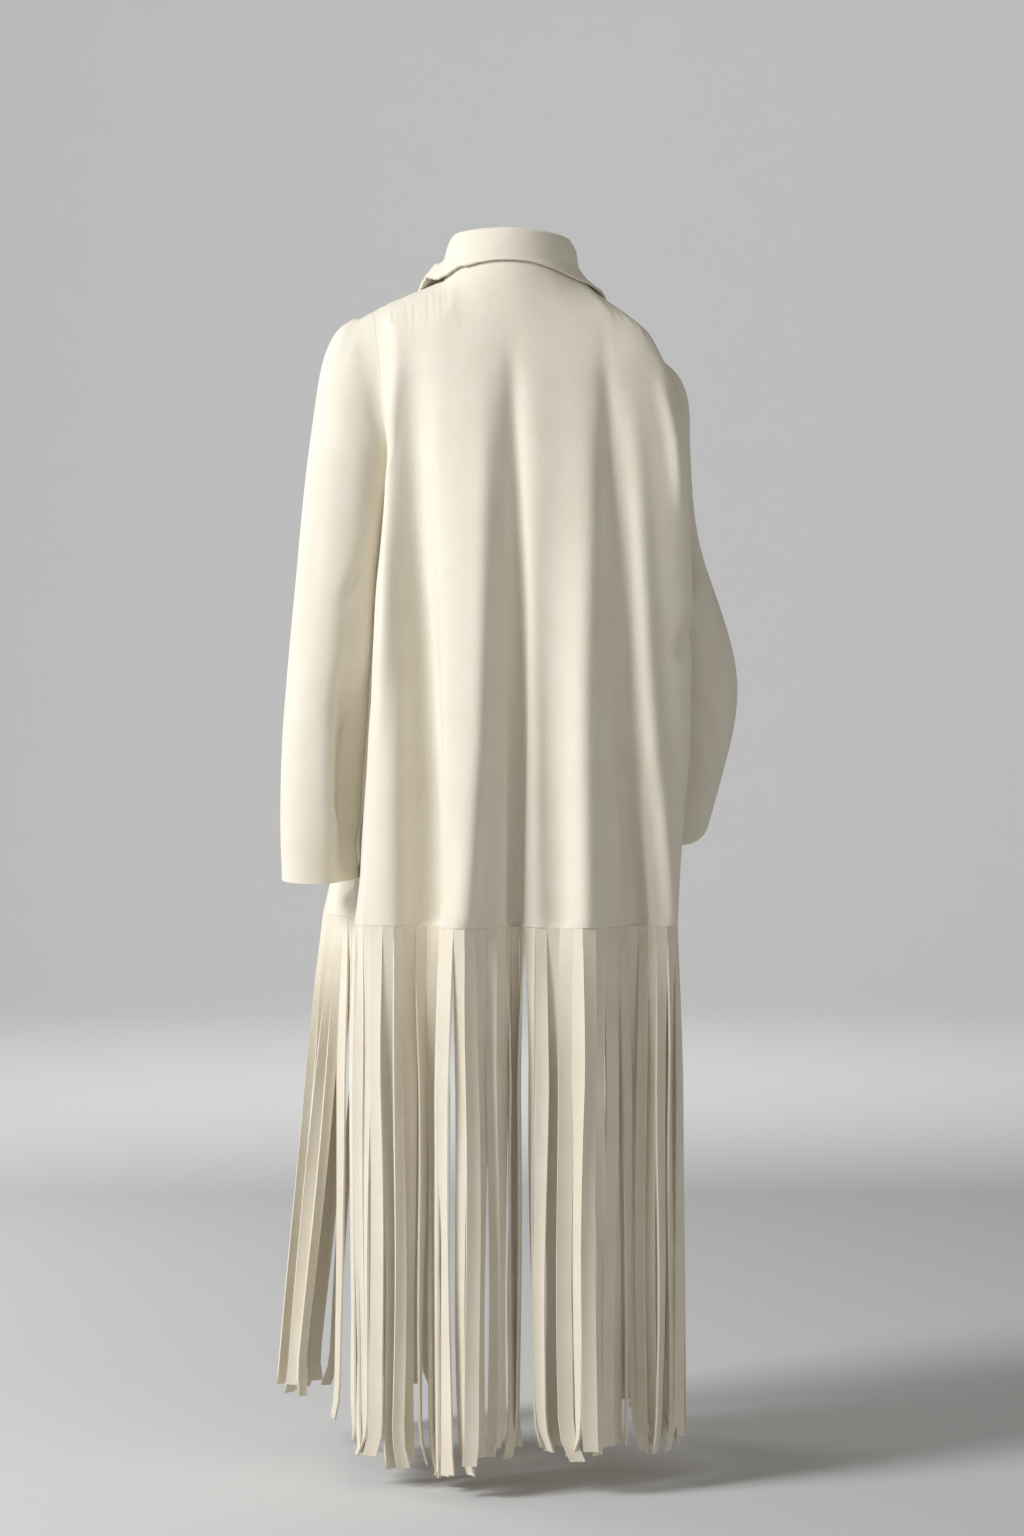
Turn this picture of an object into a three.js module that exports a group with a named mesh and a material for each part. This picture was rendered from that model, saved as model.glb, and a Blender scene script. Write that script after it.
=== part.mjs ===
// Long open coat of thick double-faced wool, with its lower half cut into a fringe of strips.
// Millimetres, +Z up. The fronts face -Y, the back faces +Y, and +X is the wearer's left.
// The origin lies between the shoulders at the height of the neck seam, where the coat is carried.

import * as THREE from 'three';

// Cloth and seams
const clothThickness = 3;
const seamGap = 0.3;
const mitreLimit = 1.45;

// Heights
const hemZ = -857;
const seamRows = 10;
const armholeRows = 9;

// Shoulders and neck
const shoulderY = 5;
const neckHalfWidth = 84;
const neckBackDepth = 69;
const neckBackRise = 5;
const left = {
  side: 1, shoulderX: 184, shoulderZ: -44, neckZ: 0, underarmZ: -300, backDepth: 66, frontDepth: 62,
};
const right = {
  side: -1, shoulderX: -180, shoulderZ: -94, neckZ: -10, underarmZ: -310, backDepth: 52, frontDepth: 62,
};

// How the panels round over from their top edges, and how near a seam their folds fade out
const backNeckRounding = 1.6;
const frontNeckRounding = 1.4;
const frontNeckDrop = 200;
const backFoldFade = 0.2;
const frontFoldFade = 0.15;
const shoulderSpread = 1.15;

// Columns of the panels. A back column goes from 1 at the left seam to -1 at the right seam.
const backColumns = 40;
const neckColumn = 0.45;
const frontColumns = 14;

// Fringe
const stripPitch = 16.2;
const slitWidth = 1.8;
const stripThickness = 2.6;
const rootHeight = 9;
const backStripEndZ = -1547;
const frontStripEndZ = -1532;
const stripSteps = 6;
const stripTurn = { middleDeg: 52, spreadDeg: 20, quickening: 2.2, otherWayShare: -0.2 };
const stripSway = { sideways: 0.7, sidewaysMost: 6, outward: 9, ends: 15, flarePower: 1.2 };

// How far the sleeve leaves the armhole squarely before it turns down the arm.
const sleeveLeave = 9;
const sleeveLeaveDrop = 2.25;
const sleeveSquaring = { left: 0.84, right: 1, fromRing: 1, overRings: 4 };
const underarmEase = 2.8;

// Height of the collar's fall over the panels, from the middle of one cloth to the other.
const fallLift = 7.5;
const shoulderLift = 8;
const neckPointEase = 0.9;
const neckPointColumns = { lift: 1.4, ease: 1.6 };

const ivory = { roughness: 0.92, metalness: 0 };
const clothColours = {
  back: 0xe6ddca,
  front: 0xe2d9c5,
  sleeve: 0xe8e0ce,
  collar: 0xebe4d4,
  fringe: 0xdfd5c0,
};

const mix = (from, to, share) => from + (to - from) * share;
const clamp = (value, low, high) => Math.min(Math.max(value, low), high);
const vec = (x, y, z) => new THREE.Vector3(x, y, z);

// A smooth value through a table's rows that never overshoots them.
function smoothValue(knots, values, at) {
  const last = knots.length - 1;
  if (at <= knots[0]) return values[0];
  if (at >= knots[last]) return values[last];
  let i = 0;
  while (at > knots[i + 1]) i += 1;
  const slope = (k) => (values[k + 1] - values[k]) / (knots[k + 1] - knots[k]);
  const tangent = (k) => {
    if (k === 0) return slope(0);
    if (k === last) return slope(last - 1);
    const before = slope(k - 1);
    const after = slope(k);
    return before * after > 0 ? (2 * before * after) / (before + after) : 0;
  };
  const step = knots[i + 1] - knots[i];
  const u = (at - knots[i]) / step;
  const u2 = u * u;
  const u3 = u2 * u;
  const ends = values[i] * (2 * u3 - 3 * u2 + 1) + values[i + 1] * (3 * u2 - 2 * u3);
  return ends + step * (tangent(i) * (u3 - 2 * u2 + u) + tangent(i + 1) * (u3 - u2));
}

// A table names its columns once and has a row for each level. The first column is the level.
function table(columns, rows) {
  const levels = rows.map((row) => row[0]);
  const byName = columns.map((name, c) => [name, rows.map((row) => row[c])]);
  return (at) => Object.fromEntries(
    byName.map(([name, values]) => [name, smoothValue(levels, values, at)]),
  );
}

// Horizontal sections of the back, seen from above. The seam is the side seam and, above the
// underarm, the armhole. The turn is where the panel swings round to the side, and the tuck is
// where it goes in behind the arm.
const backSection = table(
  ['z', 'seamLX', 'seamLY', 'tuckLX', 'tuckLY', 'turnLX', 'turnLY', 'midX', 'midY',
    'turnRX', 'turnRY', 'tuckRX', 'tuckRY', 'seamRX', 'seamRY'],
  [
    [-857, 198, 5, 203, 40, 194, 86, -10, 146, -211, 98, -214, 55, -208, 10],
    [-745, 182, 3, 190, 37, 186, 82, -14, 143, -219, 93, -209, 50, -192, 6],
    [-600, 166, 0, 177, 34, 180, 76, -20, 138, -230, 86, -198, 48, -176, 2],
    [-430, 155, -3, 166, 31, 174, 70, -24, 131, -231, 82, -185, 55, -158, -1],
    [-305, 149, -5, 150, 28, 159, 68, -20, 124, -229, 79, -178, 60, -149, -4],
    [-210, 157, -5, 161, 70, 153, 86, -12, 116, -219, 77, -188, 64, -163, -4],
    [-140, 164, -5, 161, 79, 146, 90, -6, 108, -201, 74, -192, 66, -172, -4],
    [-80, 170, -5, 161, 80, 142, 90, -4, 101, -188, 70, -186, 64, -178, -4],
    [10, 178, -5, 164, 80, 140, 88, 0, 92, -184, 66, -184, 62, -182, -4],
  ],
);
const backKnots = [-1, -0.86, -0.72, 0, 0.8, 0.9, 1];

// Horizontal sections of the fronts. They share the back's side seams and armhole sides.
const frontColumnsOf = ['z', 'sideX', 'sideY', 'chestX', 'chestY', 'edgeX', 'edgeY'];
const leftFrontSection = table(frontColumnsOf, [
  [-857, 246, -150, 205, -250, 112, -300],
  [-760, 224, -132, 184, -222, 98, -268],
  [-600, 198, -106, 164, -182, 80, -222],
  [-430, 176, -84, 143, -146, 64, -180],
  [-305, 152, -72, 124, -124, 56, -154],
  [-200, 148, -82, 116, -116, 56, -136],
  [-120, 146, -82, 112, -106, 62, -116],
  [0, 146, -78, 112, -96, 70, -96],
]);
const rightFrontSection = table(frontColumnsOf, [
  [-857, -205, -100, -165, -215, -80, -275],
  [-760, -180, -98, -148, -203, -70, -255],
  [-600, -166, -90, -138, -172, -62, -215],
  [-430, -157, -76, -132, -140, -58, -178],
  [-305, -149, -68, -122, -122, -54, -154],
  [-200, -148, -80, -114, -114, -54, -136],
  [-120, -150, -80, -110, -104, -60, -116],
  [0, -150, -76, -110, -94, -70, -94],
]);
const frontKnots = [0, 0.38, 0.72, 1];

// Drape folds of the back: where each runs at the shoulder blades and at the hem, its half width
// there, and how far it stands out (or in, below zero) at the hem.
const backFolds = [
  { name: 'left trough', topX: 122, hemX: 128, topWidth: 26, hemWidth: 30, reach: -20, startZ: -90 },
  { name: 'broad ridge', topX: 46, hemX: 62, topWidth: 30, hemWidth: 26, reach: 24, startZ: -90 },
  { name: 'deep trough', topX: -3, hemX: -6, topWidth: 18, hemWidth: 17, reach: -34, startZ: -110 },
  { name: 'soft ridge', topX: -90, hemX: -94, topWidth: 24, hemWidth: 28, reach: 16, startZ: -120 },
  { name: 'right trough', topX: -124, hemX: -160, topWidth: 14, hemWidth: 21, reach: -30, startZ: -120 },
];
const foldGrowth = 0.85;

// Folds of the fronts run by column, where 0 is the front edge and 1 the side seam.
const frontFolds = [
  { name: 'edge ridge', at: 0.2, width: 0.09, reach: 14, startZ: -260 },
  { name: 'front trough', at: 0.42, width: 0.1, reach: -22, startZ: -220 },
  { name: 'side ridge', at: 0.66, width: 0.1, reach: 12, startZ: -320 },
  { name: 'side trough', at: 0.86, width: 0.07, reach: -12, startZ: -380 },
];

const bell = (offset, width) => Math.exp(-((offset / width) ** 2));
const grown = (startZ, z) => clamp((startZ - z) / (startZ - hemZ), 0, 1) ** foldGrowth;

// The armhole is an oval in side view. Below its middle it widens out of the underarm, and above
// it the panel's own rounding over the shoulder closes it again.
const armholeHeight = (arm) => (arm.shoulderZ - arm.underarmZ) / 2;
function armholeSpread(arm, z) {
  const middle = (arm.shoulderZ + arm.underarmZ) / 2;
  const below = clamp((middle - z) / armholeHeight(arm), 0, 1);
  return Math.sqrt(1 - below * below);
}

const seamPoint = (arm, section, depth, z) => {
  const x = arm.side > 0 ? section.seamLX : section.seamRX;
  const y = arm.side > 0 ? section.seamLY : section.seamRY;
  return [x, y + depth * (z > arm.underarmZ ? armholeSpread(arm, z) : 0)];
};

// The share of the way from a panel's top edge to its section, at a drop below the edge.
const roundDrop = (drop, radius) => {
  const r = clamp(drop / radius, 0, 1);
  return Math.sqrt(r * (2 - r));
};
const slopeDrop = (drop, radius, power) => 1 - (1 - clamp(drop / radius, 0, 1)) ** power;

function backTop(s) {
  const arm = s > 0 ? left : right;
  if (Math.abs(s) >= neckColumn) {
    const along = (Math.abs(s) - neckColumn) / (1 - neckColumn);
    const x = mix(arm.side * neckHalfWidth, arm.shoulderX, along);
    return vec(x, shoulderY, mix(arm.neckZ, arm.shoulderZ, along));
  }
  const angle = (Math.PI / 2) * (1 - s / neckColumn);
  const z = mix(left.neckZ, right.neckZ, (1 - s / neckColumn) / 2) + neckBackRise * Math.sin(angle);
  return vec(neckHalfWidth * Math.cos(angle), shoulderY + neckBackDepth * Math.sin(angle), z);
}

function backBase(s, z) {
  const row = backSection(z);
  const [leftX, leftY] = seamPoint(left, row, left.backDepth, z);
  const [rightX, rightY] = seamPoint(right, row, right.backDepth, z);
  const xs = [rightX, row.tuckRX, row.turnRX, row.midX, row.turnLX, row.tuckLX, leftX];
  const ys = [rightY, row.tuckRY, row.turnRY, row.midY, row.turnLY, row.tuckLY, leftY];
  return new THREE.Vector2(smoothValue(backKnots, xs, s), smoothValue(backKnots, ys, s));
}

// A point on the back, by column and height. Folds push it out or in, square to the section.
function backPoint(s, z) {
  const base = backBase(s, z);
  const step = 0.01;
  const along = backBase(clamp(s - step, -1, 1), z).sub(backBase(clamp(s + step, -1, 1), z)).normalize();
  let push = 0;
  for (const fold of backFolds) {
    const share = grown(fold.startZ, z);
    const centre = mix(fold.topX, fold.hemX, share);
    const width = mix(fold.topWidth, fold.hemWidth, share);
    push += fold.reach * share * bell(base.x - centre, width);
  }
  push *= clamp((1 - Math.abs(s)) / backFoldFade, 0, 1);
  const top = backTop(s);
  const neckShare = clamp(1 - Math.abs(s) / neckColumn, 0, 1);
  const radius = mix(armholeHeight(right), armholeHeight(left), (s + 1) / 2);
  const drop = top.z - z;
  const atNeck = slopeDrop(drop, radius, backNeckRounding);
  const share = mix(roundDrop(drop, radius), atNeck, Math.sqrt(neckShare));
  const x = base.x + along.y * push;
  const y = base.y - along.x * push;
  return vec(mix(top.x, x, share), mix(top.y, y, share), z);
}

function frontPoint(arm, section, s, z) {
  const row = section(z);
  const [seamX, seamY] = seamPoint(arm, backSection(z), -arm.frontDepth, z);
  const planPoint = (at) => new THREE.Vector2(
    smoothValue(frontKnots, [row.edgeX, row.chestX, row.sideX, seamX], at),
    smoothValue(frontKnots, [row.edgeY, row.chestY, row.sideY, seamY], at),
  );
  const base = planPoint(s);
  const step = 0.01;
  const along = planPoint(clamp(s + step, 0, 1)).sub(planPoint(clamp(s - step, 0, 1))).normalize();
  let push = 0;
  for (const fold of frontFolds) {
    push += fold.reach * grown(fold.startZ, z) * bell(s - fold.at, fold.width);
  }
  push *= clamp((1 - s) / frontFoldFade, 0, 1);
  const topX = mix(arm.side * neckHalfWidth, arm.shoulderX, s);
  const topZ = mix(arm.neckZ, arm.shoulderZ, s);
  const drop = topZ - z;
  const atNeck = slopeDrop(drop, frontNeckDrop, frontNeckRounding);
  const share = mix(atNeck, roundDrop(drop, armholeHeight(arm)), Math.sqrt(s));
  const x = base.x + arm.side * along.y * push;
  const y = base.y - arm.side * along.x * push;
  return vec(mix(topX, x, share), mix(shoulderY, y, share), z);
}

// Grids of the middle of the cloth
// Rows of a panel go from the hem up, first to the underarm and then to the top edge.
const panelRows = seamRows + armholeRows;
function rowHeight(row, underarmZ, topZ) {
  if (row <= seamRows) return mix(hemZ, underarmZ, row / seamRows);
  return mix(underarmZ, topZ, (row - seamRows) / armholeRows);
}

// Each grid point carries the way out of the cloth, and how much longer a mitre makes it.
function clothGrid(points, { wraps = false, outside = 1 } = {}) {
  const rowCount = points.length;
  const columnCount = points[0].length;
  const at = (i, j) => points[i][wraps ? (j + columnCount) % columnCount : clamp(j, 0, columnCount - 1)];
  const normals = points.map((row, i) => row.map((_, j) => {
    const across = at(i, j + 1).clone().sub(at(i, j - 1));
    const up = at(Math.min(i + 1, rowCount - 1), j).clone().sub(at(Math.max(i - 1, 0), j));
    return across.cross(up).normalize().multiplyScalar(outside);
  }));
  return { points, normals, wraps, outside };
}

// A hem is cut level, so its end face lies flat.
function levelHem(grid) {
  for (const normal of grid.normals[0]) normal.setZ(0).normalize();
}

// Gives the points that meet at a seam one shared way out, so that their end faces lie together.
function matchSeam(meetings) {
  for (const meeting of meetings) {
    const shared = vec(0, 0, 0);
    for (const [grid, i, j] of meeting) shared.add(grid.normals[i][j]);
    shared.normalize();
    const facing = meeting.map(([grid, i, j]) => shared.dot(grid.normals[i][j]));
    const lean = facing.reduce((sum, value) => sum + value, 0) / facing.length;
    shared.multiplyScalar(1 / Math.max(lean, 1 / mitreLimit));
    for (const [grid, i, j] of meeting) grid.normals[i][j] = shared.clone();
  }
}

// Draws an edge point back towards its neighbour in the same piece.
function pullIn(grid, i, j, fromI, fromJ, amount) {
  const way = grid.points[fromI][fromJ].clone().sub(grid.points[i][j]).normalize();
  grid.points[i][j] = grid.points[i][j].clone().addScaledVector(way, amount);
}

function geometryOf(vertices, faces) {
  const geometry = new THREE.BufferGeometry();
  const places = vertices.flatMap((v) => [v.x, v.y, v.z]);
  geometry.setAttribute('position', new THREE.Float32BufferAttribute(places, 3));
  geometry.setIndex(faces);
  geometry.computeVertexNormals();
  return geometry;
}

// The grid's points moved half the thickness out and in, with all open edges closed.
function clothWall({ points, normals, wraps, outside }) {
  const rowCount = points.length;
  const columnCount = points[0].length;
  const vertices = [];
  for (const way of [0.5, -0.5]) {
    points.forEach((row, i) => row.forEach((point, j) => {
      vertices.push(point.clone().addScaledVector(normals[i][j], way * clothThickness));
    }));
  }
  const outer = (i, j) => i * columnCount + (j % columnCount);
  const inner = (i, j) => outer(i, j) + rowCount * columnCount;
  const faces = [];
  const quad = (a, b, c, d) => {
    if (outside > 0) faces.push(a, b, c, a, c, d);
    else faces.push(a, c, b, a, d, c);
  };
  const spans = wraps ? columnCount : columnCount - 1;
  const top = rowCount - 1;
  for (let j = 0; j < spans; j += 1) {
    for (let i = 0; i < top; i += 1) {
      quad(outer(i, j), outer(i, j + 1), outer(i + 1, j + 1), outer(i + 1, j));
      quad(inner(i, j), inner(i + 1, j), inner(i + 1, j + 1), inner(i, j + 1));
    }
    quad(inner(0, j), inner(0, j + 1), outer(0, j + 1), outer(0, j));
    quad(outer(top, j), outer(top, j + 1), inner(top, j + 1), inner(top, j));
  }
  if (!wraps) {
    const end = columnCount - 1;
    for (let i = 0; i < top; i += 1) {
      quad(inner(i, 0), outer(i, 0), outer(i + 1, 0), inner(i + 1, 0));
      quad(outer(i, end), inner(i, end), inner(i + 1, end), outer(i + 1, end));
    }
  }
  return geometryOf(vertices, faces);
}

// Back panel
const backColumnAt = (j) => 1 - (2 * j) / backColumns;
const backPoints = [];
for (let i = 0; i <= panelRows; i += 1) {
  const row = [];
  for (let j = 0; j <= backColumns; j += 1) {
    const s = backColumnAt(j);
    const underarmZ = mix(right.underarmZ, left.underarmZ, (s + 1) / 2);
    row.push(backPoint(s, rowHeight(i, underarmZ, backTop(s).z)));
  }
  backPoints.push(row);
}
const back = clothGrid(backPoints);

// Front panels. Columns go on round the body the way the back's do.
function frontGrid(arm, section) {
  const points = [];
  for (let i = 0; i <= panelRows; i += 1) {
    const row = [];
    for (let j = 0; j <= frontColumns; j += 1) {
      const s = arm.side > 0 ? j / frontColumns : 1 - j / frontColumns;
      const topZ = mix(arm.neckZ, arm.shoulderZ, s);
      row.push(frontPoint(arm, section, s, rowHeight(i, arm.underarmZ, topZ)));
    }
    points.push(row);
  }
  return clothGrid(points);
}
const frontLeft = frontGrid(left, leftFrontSection);
const frontRight = frontGrid(right, rightFrontSection);
for (const panel of [back, frontLeft, frontRight]) levelHem(panel);

// Sleeves: a ring for each row, given by its outer and inner points in front view, the middle and
// half of its depth, and how far the ring leans forward with the forearm.
const sleeveColumns = ['ring', 'outX', 'outZ', 'inX', 'inZ', 'midY', 'halfDepth', 'leanDeg'];
const leftSleeve = table(sleeveColumns, [
  [1, 211, -59, 160, -305, -2, 70, 0],
  [2, 234, -91, 164, -312, -3, 70, 0],
  [3, 249, -130, 167, -325, -4, 70, 0],
  [4, 258, -186, 170, -344, -5, 68, 0],
  [5, 267, -250, 174, -370, -6, 66, 0],
  [6, 275, -322, 178, -405, -7, 64, 0],
  [7, 282, -398, 182, -452, -8, 62, 0],
  [8, 290, -478, 187, -508, -10, 61, 0],
  [9, 297, -548, 191, -560, -13, 59, 2],
  [10, 301, -610, 195, -614, -16, 57, 4],
  [11, 303, -672, 199, -672, -20, 55, 5],
  [12, 304, -737, 203, -737, -24, 53, 5],
  [13, 303, -803, 206, -803, -29, 52, 5],
]);
const rightSleeve = table(sleeveColumns, [
  [1, -195, -110, -156, -315, -11, 62, 0],
  [2, -214, -134, -159, -323, -12, 62, 0],
  [3, -228, -164, -162, -335, -13, 62, 0],
  [4, -233, -208, -165, -354, -14, 62, 0],
  [5, -234, -268, -167, -382, -16, 62, 2],
  [6, -239, -332, -170, -418, -19, 62, 5],
  [7, -256, -394, -175, -454, -24, 62, 9],
  [8, -278, -456, -184, -494, -31, 62, 14],
  [9, -294, -512, -194, -534, -42, 62, 21],
  [10, -299, -556, -200, -568, -60, 62, 30],
  [11, -296, -598, -201, -602, -88, 60, 39],
  [12, -288, -640, -196, -640, -122, 57, 44],
  [13, -279, -684, -188, -681, -160, 55, 45],
  [14, -269, -730, -179, -724, -202, 53, 44],
]);

// Long soft troughs of the sleeves: ring and turn round the arm in degrees (0 out, 90 back, 180 in).
const leftSleeveFolds = [
  { ring: 11, turn: 128, rings: 3.2, turns: 24, reach: -9 },
  { ring: 6.5, turn: 60, rings: 2.2, turns: 22, reach: -5 },
  { ring: 9.2, turn: 285, rings: 0.9, turns: 60, reach: -7 },
];
const rightSleeveFolds = [
  { ring: 9.6, turn: 250, rings: 0.8, turns: 60, reach: -10 },
  { ring: 8, turn: 230, rings: 0.7, turns: 50, reach: -6 },
  { ring: 11.4, turn: 95, rings: 2, turns: 22, reach: -6 },
];

// A sleeve that hangs beside the body is pressed a little square: below 1, the power of the
// circle's shares fills the ring's corners.
function sleeveGrid(arm, section, rings, folds, front) {
  const around = 2 * armholeRows;
  const backEdge = arm.side > 0 ? 0 : backColumns;
  const frontEdge = arm.side > 0 ? frontColumns : 0;
  const armhole = [];
  for (let j = 0; j < around; j += 1) {
    const source = j <= armholeRows ? back.points : front.points;
    const row = j <= armholeRows ? panelRows - j : seamRows + (j - armholeRows);
    armhole.push(source[row][j <= armholeRows ? backEdge : frontEdge].clone());
  }
  const leaving = vec(arm.side * sleeveLeave, 0, -sleeveLeaveDrop);
  const points = [armhole, armhole.map((point) => point.clone().add(leaving))];
  for (let k = 1; k <= rings; k += 1) {
    const ring = section(k);
    const lean = THREE.MathUtils.degToRad(ring.leanDeg);
    const centre = vec((ring.outX + ring.inX) / 2, ring.midY, (ring.outZ + ring.inZ) / 2);
    const half = vec((ring.outX - ring.inX) / 2, 0, (ring.outZ - ring.inZ) / 2);
    const deep = vec(0, Math.cos(lean), -Math.sin(lean)).multiplyScalar(ring.halfDepth);
    const down = clamp((k - sleeveSquaring.fromRing) / sleeveSquaring.overRings, 0, 1);
    const power = mix(1, arm.side > 0 ? sleeveSquaring.left : sleeveSquaring.right, down);
    const filled = (share) => Math.sign(share) * Math.abs(share) ** power;
    const row = [];
    for (let j = 0; j < around; j += 1) {
      const turn = (360 * j) / around;
      const angle = THREE.MathUtils.degToRad(turn);
      const spoke = half.clone().multiplyScalar(filled(Math.cos(angle)));
      spoke.addScaledVector(deep, filled(Math.sin(angle)));
      let push = 0;
      for (const fold of folds) {
        const away = ((turn - fold.turn + 540) % 360) - 180;
        push += fold.reach * bell(k - fold.ring, fold.rings) * bell(away, fold.turns);
      }
      row.push(centre.clone().add(spoke).addScaledVector(spoke.clone().normalize(), push));
    }
    points.push(row);
  }
  return clothGrid(points, { wraps: true, outside: -arm.side });
}
const sleeveLeft = sleeveGrid(left, leftSleeve, 13, leftSleeveFolds, frontLeft);
const sleeveRight = sleeveGrid(right, rightSleeve, 14, rightSleeveFolds, frontRight);

// Collar: a strip that stands up from the neck seam, rolls over and falls outwards. It runs from
// the left front's edge round the neck to the right front's. Places on it go from 0 at the centre
// back to 1 at each end.
const collarFrontRows = 3;
const collarSection = table(['at', 'stand', 'roll', 'inward', 'fallOut', 'fallUp'], [
  [0, 40, 5.5, 8, 15, 7],
  [0.4, 37, 5.5, 9, 22, -4],
  [0.62, 33, 6, 9, 28, -16],
  [0.8, 22, 6, 4, 40, -20],
  [1, 9, 5, 0, 50, -10],
]);

// Between the seam and the edge, the middle of the stand and of the fall are given as shares, and
// the points round the roll in roll radii out and up from the stand's top.
const standMiddle = { lean: 0.55, height: 0.5 };
const rollPoints = [[0, -0.6], [0.3, 0.45], [1, 0.8], [1.75, 0.35]];
const fallStart = [2.15, -0.9];
const fallMiddle = { out: 0.55, up: 0.6 };

const neckSeam = [];
for (let r = panelRows - collarFrontRows; r < panelRows; r += 1) neckSeam.push([[frontLeft, r, 0]]);
for (let j = 0; j <= backColumns; j += 1) {
  const s = backColumnAt(j);
  const atNeckPoint = Math.abs(Math.abs(s) - neckColumn) < 1e-6;
  if (atNeckPoint && s > 0) neckSeam.push([[back, panelRows, j], [frontLeft, panelRows, 0]]);
  else if (atNeckPoint) neckSeam.push([[back, panelRows, j], [frontRight, panelRows, frontColumns]]);
  else if (Math.abs(s) < neckColumn) neckSeam.push([[back, panelRows, j]]);
}
for (let r = panelRows - 1; r >= panelRows - collarFrontRows; r -= 1) {
  neckSeam.push([[frontRight, r, frontColumns]]);
}

// Moves a point of the fall out along the nearest panel's way out until it lies clear of it.
function liftClear(point, lift) {
  let nearest = { distance: Infinity };
  for (const panel of [back, frontLeft, frontRight]) {
    panel.points.forEach((row, i) => row.forEach((place, j) => {
      const distance = place.distanceTo(point);
      if (distance < nearest.distance) nearest = { distance, place, way: panel.normals[i][j] };
    }));
  }
  const height = point.clone().sub(nearest.place).dot(nearest.way);
  return point.clone().addScaledVector(nearest.way, Math.max(0, lift - height));
}

function collarGrid() {
  const seam = neckSeam.map(([[grid, i, j]]) => grid.points[i][j].clone());
  const last = seam.length - 1;
  const profile = seam.map((base, c) => {
    const along = seam[Math.min(c + 1, last)].clone().sub(seam[Math.max(c - 1, 0)]).normalize();
    const out = vec(-along.y, along.x, 0).normalize().negate();
    const up = out.clone().cross(along).normalize();
    if (up.z < 0) up.negate();
    const at = Math.abs((2 * c) / last - 1);
    const { stand, roll, inward, fallOut, fallUp } = collarSection(at);
    const fromNeckPoint = Math.min(c, last - c) - collarFrontRows;
    const overShoulder = shoulderLift * bell(fromNeckPoint, neckPointColumns.lift);
    const place = (o, u) => base.clone().addScaledVector(out, o).addScaledVector(up, u);
    const placeFall = (o, u) => liftClear(place(o, u), fallLift + overShoulder);
    const onRoll = ([o, u]) => [o * roll - inward, stand + u * roll];
    const [startOut, startUp] = onRoll(fallStart);
    return [
      place(0, 0),
      place(-inward * standMiddle.lean, stand * standMiddle.height),
      ...rollPoints.map((point) => place(...onRoll(point))),
      placeFall(startOut, startUp),
      placeFall(mix(startOut, fallOut, fallMiddle.out), mix(startUp, fallUp, fallMiddle.up)),
      placeFall(fallOut, fallUp),
    ];
  });
  const points = profile[0].map((_, i) => profile.map((column) => column[i]));
  return clothGrid(points);
}
const collar = collarGrid();

// Seams
const backLeftEdge = 0;
const backRightEdge = backColumns;
const shoulderWayOut = (arm) => {
  const run = arm.shoulderX - arm.side * neckHalfWidth;
  const rise = arm.shoulderZ - arm.neckZ;
  return vec(-rise, 0, run).multiplyScalar(arm.side).normalize();
};
for (const [arm, front] of [[left, frontLeft], [right, frontRight]]) {
  const out = shoulderWayOut(arm).multiplyScalar(shoulderSpread);
  for (let j = 0; j <= backColumns; j += 1) {
    const s = backColumnAt(j);
    if (s * arm.side >= neckColumn - 1e-6) back.normals[panelRows][j] = out.clone();
  }
  for (let j = 0; j <= frontColumns; j += 1) front.normals[panelRows][j] = out.clone();
}

const sideSeams = [];
const armholeSeams = [];
for (const [front, frontEdge, backEdge, sleeve] of [
  [frontLeft, frontColumns, backLeftEdge, sleeveLeft],
  [frontRight, 0, backRightEdge, sleeveRight],
]) {
  for (let i = 0; i < seamRows; i += 1) sideSeams.push([[back, i, backEdge], [front, i, frontEdge]]);
  armholeSeams.push([[back, seamRows, backEdge], [front, seamRows, frontEdge], [sleeve, 0, armholeRows]]);
  armholeSeams.push([[back, panelRows, backEdge], [front, panelRows, frontEdge], [sleeve, 0, 0]]);
  for (let j = 1; j < armholeRows; j += 1) {
    armholeSeams.push([[back, panelRows - j, backEdge], [sleeve, 0, j]]);
    armholeSeams.push([[front, panelRows - j, frontEdge], [sleeve, 0, 2 * armholeRows - j]]);
  }
}
matchSeam(sideSeams);
matchSeam(armholeSeams);
matchSeam(neckSeam.map((meeting, c) => [...meeting, [collar, 0, c]]));

for (let i = 0; i <= panelRows; i += 1) {
  pullIn(back, i, backLeftEdge, i, 1, seamGap / 2);
  pullIn(back, i, backRightEdge, i, backColumns - 1, seamGap / 2);
  pullIn(frontLeft, i, frontColumns, i, frontColumns - 1, seamGap / 2);
  pullIn(frontRight, i, 0, i, 1, seamGap / 2);
}
for (let j = 0; j <= backColumns; j += 1) {
  if (Math.abs(backColumnAt(j)) >= neckColumn - 1e-6) back.points[panelRows][j].y += seamGap / 2;
  else pullIn(back, panelRows, j, panelRows - 1, j, seamGap / 2);
}
for (const front of [frontLeft, frontRight]) {
  for (let j = 0; j <= frontColumns; j += 1) front.points[panelRows][j].y -= seamGap / 2;
}
// The sleeve's underarm is folded sharply against the side, so it starts a little farther off.
for (const sleeve of [sleeveLeft, sleeveRight]) {
  for (let j = 0; j < 2 * armholeRows; j += 1) {
    const under = Math.max(0, -Math.cos((Math.PI * j) / armholeRows));
    pullIn(sleeve, 0, j, 1, j, seamGap + underarmEase * under);
  }
}
const collarEnd = collar.points[0].length - 1;
for (let c = 0; c <= collarEnd; c += 1) {
  const fromNeckPoint = Math.min(c, collarEnd - c) - collarFrontRows;
  pullIn(collar, 0, c, 1, c, seamGap + neckPointEase * bell(fromNeckPoint, neckPointColumns.ease));
}

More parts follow.
